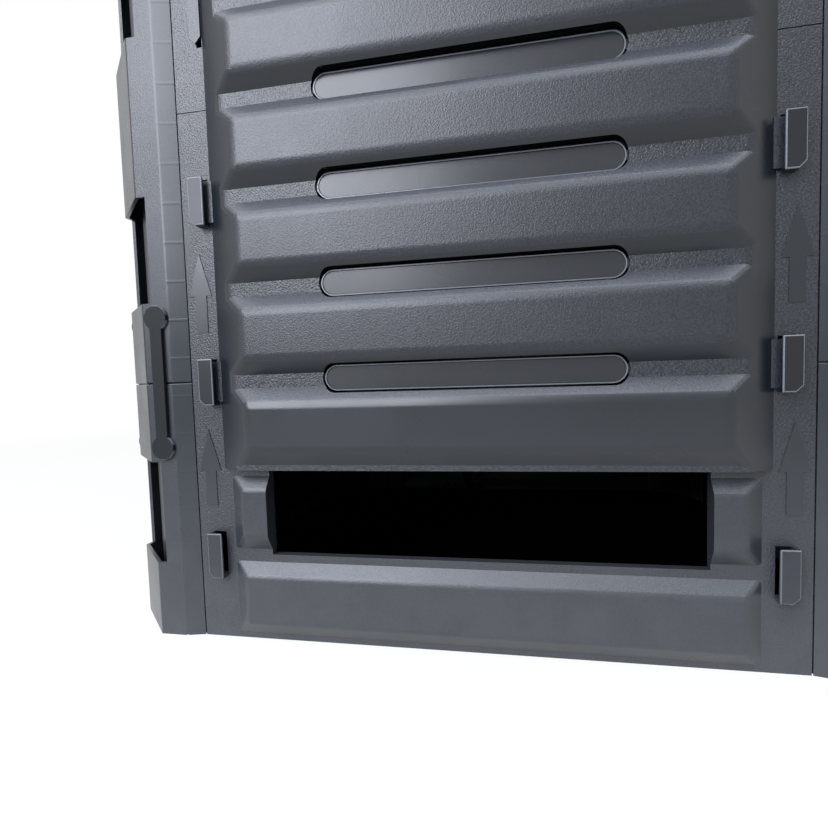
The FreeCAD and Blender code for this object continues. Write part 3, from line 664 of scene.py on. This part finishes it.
@dataclass
class WallPanel(MouldedPiece):
    """A louvred wall panel: soft bands, grained grooves and strips, pans in the vent slots.

    Args (fields):
        side: Side of the bin that the panel faces.
        strip: Distance of the side strips' plane from the bin's middle.
        groove: Level of the groove floors, outside the strips' plane.
        pan: Level of the pans.
        band_foot_half: Half width of the louvres.
        band_round: Width of the soft edges of the bands.
        band_edge_least: Length of the shortest edge that is softened so.
        band_face_least: Side of a square as large as the smallest face beside such an edge.
        groove_play: How far under the groove floors such an edge may lie.
        crisp: Width of every other rounded edge.
        pan_least: Side of a square that is smaller than any pan.
        pan_deepest: Greatest depth of a pan under the groove floors.
        pan_play: How far the rim round a pan may lie off the pan's level.
        rim: Width of the rim round a pan.
        rim_height: Height of that rim over the pan.
        pitch: Distance between two vents.
        slot_half: Half width of a vent slot.
        slot_half_height: Half height of a vent slot.
        slot_rise: How far a slot's wall runs up the slopes beside it.
        same_level: How far apart two points of one level may lie.
    """

    side: Side = Side.FRONT
    strip: float = 279.5 * MM
    groove: float = 0.0
    pan: float = -1.0 * MM
    band_foot_half: float = 177.0 * MM
    band_round: float = 2.6 * MM
    band_edge_least: float = 8.0 * MM
    band_face_least: float = 8.0 * MM
    groove_play: float = 0.5 * MM
    crisp: float = 0.35 * MM
    pan_least: float = 40.0 * MM
    pan_deepest: float = 3.0 * MM
    pan_play: float = 0.1 * MM
    rim: float = 0.8 * MM
    rim_height: float = 0.6 * MM
    pitch: float = 64.0 * MM
    slot_half: float = 102.0 * MM
    slot_half_height: float = 12.0 * MM
    slot_rise: float = 4.0 * MM
    same_level: float = 0.3 * MM

    def proud(self, centre: Vector) -> float:
        """How far a point lies outside the side strips' plane."""
        return centre.dot(self.side.outward) - self.strip

    def along(self, centre: Vector) -> float:
        """Distance from the wall's middle line."""
        outward = self.side.outward
        return abs(centre.x * outward.y - centre.y * outward.x)

    def at_level(self, centre: Vector, level: float) -> bool:
        """Says whether a point lies on a plane parallel to the wall."""
        return abs(self.proud(centre) - level) < self.same_level

    def in_slot(self, centre: Vector) -> bool:
        """Says whether a point lies in the outline of a vent slot."""
        from_slot = abs(centre.z - self.pitch * round(centre.z / self.pitch))
        return self.along(centre) < self.slot_half and from_slot < self.slot_half_height

    def is_band_edge(self, edge: Edge) -> bool:
        """Says whether an edge is an outer one between a louvre's face and slopes.

        Args:
            edge: The edge.

        Returns:
            True if it is.
        """
        outward = self.side.outward
        low = min(self.proud(vertex.co) for vertex in edge.verts)
        return (edge.is_convex and edge.calc_length() > self.band_edge_least
                and min(face.normal.dot(outward) for face in edge.link_faces) > SLOPING
                and beside_large_faces(edge, self.band_face_least)
                and low > self.groove - self.groove_play)

    def roundings(self) -> tuple[Rounding, ...]:
        """Soft edges on the louvres, crisp ones elsewhere.

        Returns:
            The passes, the softest first.
        """
        return (
            Rounding(self.band_round, least=20.0, most=65.0, segments=4, where=self.is_band_edge),
            Rounding(self.crisp, least=20.0),
        )

    def is_pan(self, face: bmesh.types.BMFace) -> bool:
        """Says whether a face is the front of a pan."""
        return (face.normal.dot(self.side.outward) > FLAT and face.calc_area() > self.pan_least ** 2
                and self.at_level(face.calc_center_median(), self.pan))

    def detail(self) -> None:
        """Leaves a thin raised rim round each pan."""
        if select_in(self.piece, Element.FACE, self.is_pan):
            bpy.ops.mesh.inset(thickness=self.rim, depth=0.0, use_individual=True)
            bpy.ops.mesh.inset(thickness=self.rim / 2, depth=-self.rim_height, use_individual=True)
        bpy.ops.object.mode_set(mode="OBJECT")

    def surface_of(self, centre: Vector, normal: Vector) -> Surface:
        """Picks the finish of a face.

        Args:
            centre: Middle of the face.
            normal: Direction of the face.

        Returns:
            Its finish.
        """
        facing = normal.dot(self.side.outward)
        level = self.proud(centre)
        in_slot = self.in_slot(centre)
        # The slots' walls are painted near black as shade.
        if abs(facing) < SIDEWAYS and level < self.groove + self.slot_rise and in_slot:
            return Surface.SLOT
        if facing < FACING:
            # Slopes that face up are painted paler as light from above.
            upward = facing > SLOPING and normal.z > SIDEWAYS and level > self.groove
            return Surface.SETTLED if upward else Surface.SATIN
        # The rim round each pan gets a painted highlight.
        if abs(level - self.pan) < self.pan_play and in_slot:
            return Surface.BURNISHED
        if self.groove - self.pan_deepest < level < self.groove - self.groove_play:
            return Surface.POLISHED
        if self.at_level(centre, self.groove):
            return Surface.ERODED
        return Surface.FINE


@dataclass
class VentBaffles:
    """Thin plates behind the pans of a wall, which close the straight view through the vents and
    are painted near black as shade.

    Args (fields):
        panel: The panel that carries them.
        level: Level of their front, outside the strips' plane.
        thickness: Thickness of a plate.
        half_width: Half width of a plate.
        half_height: Half height of a plate.
        end_share: Radius of the round ends, as a share of the half height.
        end_segments: Facets of a quarter of a round end.
        eased: Width of the eased edges.
        rim_least: Smallest angle between the two faces beside such an edge, in radians.
        suffix: End of the object's name.
    """

    panel: WallPanel
    level: float = -4.1 * MM
    thickness: float = 1.0 * MM
    half_width: float = 105.0 * MM
    half_height: float = 13.5 * MM
    end_share: float = 0.97
    end_segments: int = 8
    eased: float = 0.2 * MM
    rim_least: float = 1.0
    suffix: str = "_baffles"

    def is_across(self, edge: Edge) -> bool:
        """Says whether an edge runs straight through the wall."""
        run = (edge.verts[1].co - edge.verts[0].co).normalized()
        return abs(run.dot(self.panel.side.outward)) > FLAT

    def is_rim(self, edge: Edge) -> bool:
        """Says whether an edge lies round one of the two faces of a plate."""
        return not self.is_across(edge) and edge.calc_face_angle(0.0) > self.rim_least

    def shape_plate(self, plate: bpy.types.Object) -> None:
        """Eases the edges round the faces of a plate.

        Args:
            plate: The plate.
        """
        select_in(plate, Element.EDGE, self.is_rim)
        bpy.ops.mesh.bevel(offset=self.eased, segments=2, affect="EDGES")
        bpy.ops.object.mode_set(mode="OBJECT")

    def make_plate(self) -> bpy.types.Object:
        """Models one plate at height zero, with round ends.

        Returns:
            The plate.
        """
        outward = self.panel.side.outward
        deselect_all()
        bpy.ops.mesh.primitive_cube_add(size=1.0)
        plate = bpy.context.active_object
        plate.scale = (2 * self.half_width, self.thickness, 2 * self.half_height)
        plate.rotation_euler = (0.0, 0.0, math.atan2(outward.x, -outward.y))
        plate.location = outward * (self.panel.strip + self.level - self.thickness / 2)
        bpy.ops.object.transform_apply(location=True, rotation=True, scale=True)
        select_in(plate, Element.EDGE, self.is_across)
        bpy.ops.mesh.bevel(
            offset=self.end_share * self.half_height, segments=self.end_segments, affect="EDGES")
        bpy.ops.object.mode_set(mode="OBJECT")
        self.shape_plate(plate)
        return plate

    def build(self, materials: dict[Surface, Material]) -> bpy.types.Object:
        """Repeats the plate behind every vent and puts the lot on the panel's body.

        Args:
            materials: The finishes.

        Returns:
            The finished object.
        """
        low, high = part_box(self.panel.node)
        pitch = self.panel.pitch
        first = math.floor(low.z / pitch + 0.5) + 1
        last = math.ceil(high.z / pitch - 0.5)
        pattern = self.make_plate()
        plates = []
        for step in range(first, last):
            plate = pattern.copy()
            plate.data = pattern.data.copy()
            bpy.context.scene.collection.objects.link(plate)
            plate.location.z = step * pitch
            plates.append(plate)
        bpy.data.objects.remove(pattern)
        deselect_all()
        for plate in plates:
            plate.select_set(True)
        bpy.context.view_layer.objects.active = plates[0]
        bpy.ops.object.transform_apply(location=True, rotation=True, scale=True)
        bpy.ops.object.join()
        baffles = bpy.context.active_object
        baffles.name = self.panel.node + self.suffix
        # The plates are painted near black as shade.
        baffles.data.materials.append(materials[Surface.SLOT])
        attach(baffles, self.panel.body)
        return baffles


@dataclass
class SlotCollars(VentBaffles):
    """Collars round the door's slots, which carry the slots' walls in behind the pans and are
    painted near black as shade.

    Args (fields):
        wall: Thickness of a collar's wall.
    """

    level: float = 10.35 * MM
    thickness: float = 2.75 * MM
    half_width: float = 100.05 * MM
    half_height: float = 10.05 * MM
    end_share: float = 0.995
    suffix: str = "_collars"
    wall: float = 0.8 * MM

    def shape_plate(self, plate: bpy.types.Object) -> None:
        """Opens a plate to a tube and gives the tube its wall.

        Args:
            plate: The plate.
        """
        outward = self.panel.side.outward
        select_in(plate, Element.FACE, lambda face: abs(face.normal.dot(outward)) > FACING)
        bpy.ops.mesh.delete(type="FACE")
        bpy.ops.object.mode_set(mode="OBJECT")
        solid = plate.modifiers.new("wall", "SOLIDIFY")
        solid.thickness = self.wall
        solid.offset = 1.0
        bpy.ops.object.modifier_apply(modifier=solid.name)


@dataclass
class FrontPanel(WallPanel):
    """The front lower wall, with its hooks and embossed arrows on the strips.

    Args (fields):
        hook_round: Width of the rounded edges of the hooks.
        arrow_proud: Height of the arrows over the strips.
        hook_start: Height over the strips from which a face belongs to a hook.
        strip_start: Distance of the strips from the louvres.
        hook_turn: Cosines from the outward direction between which a hook's edge turns.
    """

    band_round: float = 2.2 * MM
    hook_round: float = 0.8 * MM
    arrow_proud: float = 0.6 * MM
    hook_start: float = 2.4 * MM
    strip_start: float = 2.0 * MM
    hook_turn: tuple[float, float] = (0.25, 0.97)

    def is_hook_edge(self, edge: Edge) -> bool:
        """Says whether an edge is an outer one of a hook's front.

        Args:
            edge: The edge.

        Returns:
            True if it is.
        """
        on_strip = self.along(middle_of(edge)) > self.band_foot_half + self.strip_start
        return (edge.is_convex and on_strip
                and min(self.proud(vertex.co) for vertex in edge.verts) > self.hook_start)

    def roundings(self) -> tuple[Rounding, ...]:
        """Soft edges on the louvres and hooks, crisp ones elsewhere.

        Returns:
            The passes, the softest first.
        """
        soft, crisp = super().roundings()
        hooks = Rounding(self.hook_round, least=40.0, where=self.is_hook_edge)
        return (soft, hooks, crisp)

    def surface_of(self, centre: Vector, normal: Vector) -> Surface:
        """Picks the finish of a face.

        Args:
            centre: Middle of the face.
            normal: Direction of the face.

        Returns:
            Its finish.
        """
        level = self.proud(centre)
        if self.along(centre) > self.band_foot_half and level > self.arrow_proud / 2:
            if level < self.hook_start:
                return Surface.SATIN
            # Rounded edges of a hook get a painted highlight.
            rounded = self.hook_turn[0] < normal.dot(self.side.outward) < self.hook_turn[1]
            return Surface.BURNISHED if rounded else Surface.INSERT
        return super().surface_of(centre, normal)


@dataclass
class RakingDoor(WallPanel):
    """The door, whose grooves and bands stand further out than the wall's.

    Args (fields):
        lowest_band: Height at which the lowest band starts.
        band_gap: Height between a band's top and the middle of the vent over it.
    """

    groove: float = 10.4 * MM
    pan: float = 9.4 * MM
    band_round: float = 4.2 * MM
    lowest_band: float = 128.0 * MM
    band_gap: float = 6.0 * MM

    def surface_of(self, centre: Vector, normal: Vector) -> Surface:
        """Picks the finish of a face.

        Args:
            centre: Middle of the face.
            normal: Direction of the face.

        Returns:
            Its finish.
        """
        surface = super().surface_of(centre, normal)
        lowest = centre.z < self.lowest_band + self.pitch - self.band_gap
        return Surface.SATIN if lowest and surface is Surface.FINE else surface


@dataclass
class CornerPost(MouldedPiece):
    """A hollow corner post: grained facets beside smooth drawn ones.

    Args (fields):
        first_seam: Height of the lowest seam.
        seam_spacing: Distance between two seams.
        seam_half: Half width of the gap at a seam.
        seam_round: Width of the rounded edge on each side of a seam.
        facet_round: Width of the rounded edges between the outer facets.
        window_round: Width of every other rounded edge.
        facet_least: Length of the shortest edge between two facets.
        square: Cosine over which a facet is square to a wall.
        diagonal: Cosines between which a facet stands at 45 degrees to the walls.
        lean: Upward part of the normal under which a face is upright.
        seam_turn: How far a level face at a seam may look inwards, as a negative length.
    """

    first_seam: float = 192.0 * MM
    seam_spacing: float = 384.0 * MM
    seam_half: float = 0.3 * MM
    seam_round: float = 0.9 * MM
    facet_round: float = 1.2 * MM
    window_round: float = 0.8 * MM
    facet_least: float = 20.0 * MM
    square: float = 0.995
    diagonal: tuple[float, float] = (0.68, 0.73)
    lean: float = 0.1
    seam_turn: float = -10.0 * MM

    def roundings(self) -> tuple[Rounding, ...]:
        """Soft edges between the facets and at the seams, crisp ones at the windows.

        Returns:
            The passes, the seams' first.
        """
        return (
            Rounding(self.seam_round, least=60.0, most=120.0, where=self.is_seam_edge),
            Rounding(self.facet_round, least=8.0, most=60.0, where=self.is_facet_edge),
            Rounding(self.window_round, least=20.0),
        )

    def is_seam_edge(self, edge: Edge) -> bool:
        """Says whether an edge is a level outer one at a seam.

        Args:
            edge: The edge.

        Returns:
            True if it is.
        """
        heights = [vertex.co.z for vertex in edge.verts]
        seam = round((heights[0] - self.first_seam) / self.seam_spacing)
        level = self.first_seam + seam * self.seam_spacing
        return (faces_out(edge, self.seam_turn) and edge.is_convex
                and max(abs(height - level) for height in heights) < 2 * self.seam_half)

    def is_facet_edge(self, edge: Edge) -> bool:
        """Says whether an edge is a long upright one between two outer facets.

        Args:
            edge: The edge.

        Returns:
            True if it is.
        """
        first, second = (vertex.co for vertex in edge.verts)
        upright = abs(first.z - second.z) > FLAT * edge.calc_length()
        return upright and faces_out(edge, 0.0) and edge.calc_length() > self.facet_least

    def surface_of(self, centre: Vector, normal: Vector) -> Surface:
        """Grain on the facets that are square to a wall or at 45 degrees, polish on the others.

        Args:
            centre: Middle of the face.
            normal: Direction of the face.

        Returns:
            Its finish.
        """
        flat = max(abs(normal.x), abs(normal.y))
        if flat > self.square or self.diagonal[0] < flat < self.diagonal[1]:
            return Surface.FINE
        return Surface.DRAWN if abs(normal.z) < self.lean else Surface.SATIN


@dataclass
class LidPart(MouldedPiece):
    """A part of the lid, whose shallow panels keep flat faces between rounded edges.

    Args (fields):
        panel_round: Width of the rounded edges of the shallow slopes.
        crisp: Width of every other rounded edge.
        panel_edge_least: Length of the shortest edge of a slope.
        panel_face_least: Side of a square as large as the smallest face beside it.
        lying: Upward part of the normal over which a face belongs to a slope.
    """

    panel_round: float = 0.8 * MM
    crisp: float = 0.5 * MM
    panel_edge_least: float = 5.0 * MM
    panel_face_least: float = 8.0 * MM
    lying: float = 0.7

    def roundings(self) -> tuple[Rounding, ...]:
        """Soft edges on the shallow slopes, crisp ones elsewhere.

        Returns:
            The passes, the softest first.
        """
        return (
            Rounding(self.panel_round, least=6.0, most=40.0, where=self.is_panel_edge),
            Rounding(self.crisp, least=40.0),
        )

    def is_panel_edge(self, edge: Edge) -> bool:
        """Says whether an edge belongs to the shallow slopes of a panel.

        Args:
            edge: The edge.

        Returns:
            True if it does.
        """
        return (edge.calc_length() > self.panel_edge_least
                and min(abs(face.normal.z) for face in edge.link_faces) > self.lying
                and beside_large_faces(edge, self.panel_face_least))


@dataclass
class DogBoneClip(MouldedPiece):
    """A pair of clips across a seam, with painted highlights on the rounded edges of their heads.

    Args (fields):
        turn: Upward parts of the normal between which such an edge turns.
    """

    turn: tuple[float, float] = (0.25, 0.9)

    def surface_of(self, centre: Vector, normal: Vector) -> Surface:
        """Painted highlights on the rounded edges, plain elsewhere."""
        rounded = self.turn[0] < abs(normal.z) < self.turn[1]
        return Surface.BURNISHED if rounded else Surface.CLIP


def wall_side(node: str) -> Side:
    """Side of the bin that a wall node's name gives."""
    return next(side for side in Side if "_" + side.label + "_" in node)


def piece_for(node: str, slot: str, body: str) -> MouldedPiece:
    """Picks the class that dresses a node.

    Args:
        node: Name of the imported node.
        slot: Material slot in the record.
        body: Body that the node rides on.

    Returns:
        The piece, not built yet.
    """
    if node == "wall_front_lower":
        return FrontPanel(node, slot, body)
    if slot == "wall_panel":
        return WallPanel(node, slot, body, side=wall_side(node))
    if slot == "door":
        return RakingDoor(node, slot, body)
    if slot == "corner_post":
        return CornerPost(node, slot, body)
    if slot == "clip":
        return DogBoneClip(node, slot, body)
    if slot == "lid":
        return LidPart(node, slot, body)
    plain = {"hinge_pin": Surface.SATIN, "knob": Surface.SATIN, "screw": Surface.STEEL}
    return MouldedPiece(node, slot, body, plain.get(slot, Surface.FINE))


@dataclass(frozen=True)
class SoftBox:
    """A rectangular soft box.

    Args (fields):
        name: Name of the lamp.
        place: Its middle.
        target: Point that it faces.
        size: Its width and height.
        radiance: Brightness of its face, in watts per square metre and steradian.
        tint: Its colour, as sRGB hex.
    """

    name: str
    place: tuple[float, float, float]
    target: tuple[float, float, float]
    size: tuple[float, float]
    radiance: float
    tint: str = "eef3ff"

    def build(self) -> None:
        """Hangs the lamp and turns it to its target."""
        lamp = bpy.data.lights.new(self.name, "AREA")
        lamp.shape = "RECTANGLE"
        lamp.size, lamp.size_y = self.size
        lamp.energy = self.radiance * math.pi * self.size[0] * self.size[1]
        lamp.color = linear(self.tint)[:3]
        holder = bpy.data.objects.new(self.name, lamp)
        bpy.context.scene.collection.objects.link(holder)
        holder.location = self.place
        aim = Vector(self.target) - Vector(self.place)
        holder.rotation_euler = aim.to_track_quat("-Z", "Y").to_euler()


@dataclass
class Studio:
    """Floor, soil, world, soft boxes and a camera at the photograph's viewpoint.

    Args (fields):
        floor_size: Width of the floor.
        floor_colour: Colour of the floor's paint, as sRGB hex.
        floor_white: Share of plain white in what the camera sees of the floor near the bin.
        shadow_reach: Distance from the middle within which the floor shows its shadows in full.
        shadow_end: Distance at which the floor is as white as the world.
        soil_half: Half width of the soil, painted near black as shade, that the open bottom stands
            over.
        soil_corner: How much of each corner of the soil is cut off.
        soil_lift: Height of the soil over the floor.
        soil_shade_colour: Colour of the soil, near black as painted shade, as sRGB hex.
        soft_boxes: The lamps.
        world_light: Strength of the world as a light.
        lens: Focal length in millimetres.
        film: Width of the camera's frame in millimetres.
        clip: Nearest and farthest distance that the camera shows.
        camera_x: Place of the camera from side to side.
        camera_proud: Distance of the camera in front of the side strips' plane.
        camera_z: Height of the camera.
        yaw: Turn of the view to the left, in degrees.
        pitch: Tilt of the view downwards.
        roll: Turn about the line of sight.
        door_proud: How far the door's face stands in front of the strips.
    """

    floor_size: float = 40.0
    floor_colour: str = "e7e7e7"
    floor_white: float = 0.88
    shadow_reach: float = 0.8
    shadow_end: float = 2.4
    soil_half: float = 277.0 * MM
    soil_corner: float = 32.0 * MM
    soil_lift: float = 0.3 * MM
    soil_shade_colour: str = "0c0b0a"
    soft_boxes: tuple[SoftBox, ...] = (
        SoftBox("key_soft_box", (-0.95, -1.98, 1.35), (-0.06, -0.28, 0.3), (1.4, 1.7), 10.5),
        SoftBox("top_soft_box", (-0.1, -0.7, 2.2), (-0.1, -0.7, 0.0), (3.0, 2.4), 3.6),
    )
    world_light: float = 0.06
    lens: float = 24.35
    film: float = 36.0
    clip: tuple[float, float] = (0.01, 100.0)
    camera_x: float = 38.8 * MM
    camera_proud: float = 374.0 * MM
    camera_z: float = 191.3 * MM
    yaw: float = 11.732
    pitch: float = 3.837
    roll: float = -1.822
    door_proud: float = 19.4 * MM

    def build(self) -> None:
        """Builds everything that isn't the bin."""
        self.make_floor()
        self.make_soil()
        self.make_world()
        for soft_box in self.soft_boxes:
            soft_box.build()
        self.make_camera()

    def make_floor(self) -> None:
        """Pale floor that keeps the bin's shadow and is white to the camera and in reflections."""
        deselect_all()
        bpy.ops.mesh.primitive_plane_add(size=self.floor_size, location=(0.0, 0.0, 0.0))
        floor = bpy.context.active_object
        floor.name = "floor"
        material = empty_material("matt_white_floor")
        paint = add_node(material, "ShaderNodeBsdfDiffuse", {"Color": linear(self.floor_colour)})
        glow = add_node(material, "ShaderNodeEmission", {"Strength": 1.0})
        place = add_node(material, "ShaderNodeTexCoord")
        away = add_node(
            material, "ShaderNodeVectorMath", {"operation": "LENGTH"},
            {"Vector": place.outputs["Object"]})
        whiteness = add_node(
            material,
            "ShaderNodeMapRange",
            {"From Min": self.shadow_reach, "From Max": self.shadow_end,
             "To Min": self.floor_white, "To Max": 1.0},
            {"Value": away.outputs["Value"]},
        )
        share = add_node(
            material, "ShaderNodeMath", {"operation": "MULTIPLY"},
            {0: add_sight(material), 1: whiteness.outputs["Result"]})
        both = add_node(
            material, "ShaderNodeMixShader", {},
            {0: share.outputs[0], 1: paint.outputs[0], 2: glow.outputs[0]})
        add_node(material, "ShaderNodeOutputMaterial", {}, {"Surface": both.outputs[0]})
        floor.data.materials.append(material)

    def make_soil(self) -> None:
        """Soil under the bin, painted near black as the shade inside the bin, which its open bottom
        and the openings leave in view.
        """
        deselect_all()
        bpy.ops.mesh.primitive_plane_add(
            size=2 * self.soil_half, location=(0.0, 0.0, self.soil_lift))
        soil = bpy.context.active_object
        soil.name = "soil"
        bpy.ops.object.mode_set(mode="EDIT")
        bpy.ops.mesh.select_all(action="SELECT")
        bpy.ops.mesh.bevel(offset=self.soil_corner, affect="VERTICES")
        bpy.ops.object.mode_set(mode="OBJECT")
        material = empty_material("dark_soil")
        earth = add_node(material, "ShaderNodeBsdfDiffuse", {"Color": linear(self.soil_shade_colour)})
        add_node(material, "ShaderNodeOutputMaterial", {}, {"Surface": earth.outputs[0]})
        soil.data.materials.append(material)

    def make_world(self) -> None:
        """World that is white to the camera and in reflections, and dimmer as a light."""
        world = bpy.data.worlds.new("studio")
        bpy.context.scene.world = world
        world.use_nodes = True
        world.node_tree.nodes.clear()
        level = add_node(
            world,
            "ShaderNodeMapRange",
            {"To Min": self.world_light, "To Max": 1.0},
            {"Value": add_sight(world)},
        )
        background = add_node(
            world,
            "ShaderNodeBackground",
            {"Color": (1.0, 1.0, 1.0, 1.0)},
            {"Strength": level.outputs["Result"]},
        )
        add_node(world, "ShaderNodeOutputWorld", {}, {"Surface": background.outputs["Background"]})

    def make_camera(self) -> None:
        """Camera at the photograph's viewpoint."""
        strip_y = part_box("raking_door")[0].y + self.door_proud
        yaw = math.radians(self.yaw)
        pitch = math.radians(self.pitch)
        roll = math.radians(self.roll)
        right = Vector((math.cos(yaw), math.sin(yaw), 0.0))
        forward = Vector((
            -math.sin(yaw) * math.cos(pitch), math.cos(yaw) * math.cos(pitch), -math.sin(pitch)))
        up = right.cross(forward)
        across = right * math.cos(roll) + up * math.sin(roll)
        top = up * math.cos(roll) - right * math.sin(roll)
        turn = Matrix((across, top, -forward)).transposed()
        data = bpy.data.cameras.new("camera")
        data.lens = self.lens
        data.sensor_width = self.film
        data.clip_start, data.clip_end = self.clip
        camera = bpy.data.objects.new("camera", data)
        bpy.context.scene.collection.objects.link(camera)
        camera.location = (self.camera_x, strip_y - self.camera_proud, self.camera_z)
        camera.rotation_euler = turn.to_euler()
        bpy.context.scene.camera = camera


def main() -> None:
    """Builds the bin, the stage, the lights and the camera."""
    logging.basicConfig(level=logging.INFO, format="%(message)s")
    bpy.context.scene.view_settings.view_transform = "Standard"
    materials = {surface: finish.build() for surface, finish in FINISHES.items()}
    slots = {row["node"]: row["material_slot"] for row in frame["record"]["subparts"]}
    # By exact class: the front lower wall, which the raking opening cuts, has no baffles.
    fittings = {WallPanel: VentBaffles, RakingDoor: SlotCollars}
    for body, nodes in frame["record"]["behaviour"]["bodies"].items():
        for node in nodes:
            piece = piece_for(node, slots[node], body)
            made = [piece.build(materials)]
            if type(piece) in fittings:
                made.append(fittings[type(piece)](piece).build(materials))
            for one in made:
                LOG.info("%s: %d faces", one.name, len(one.data.polygons))
    Studio().build()


if __name__ == "__main__":
    main()
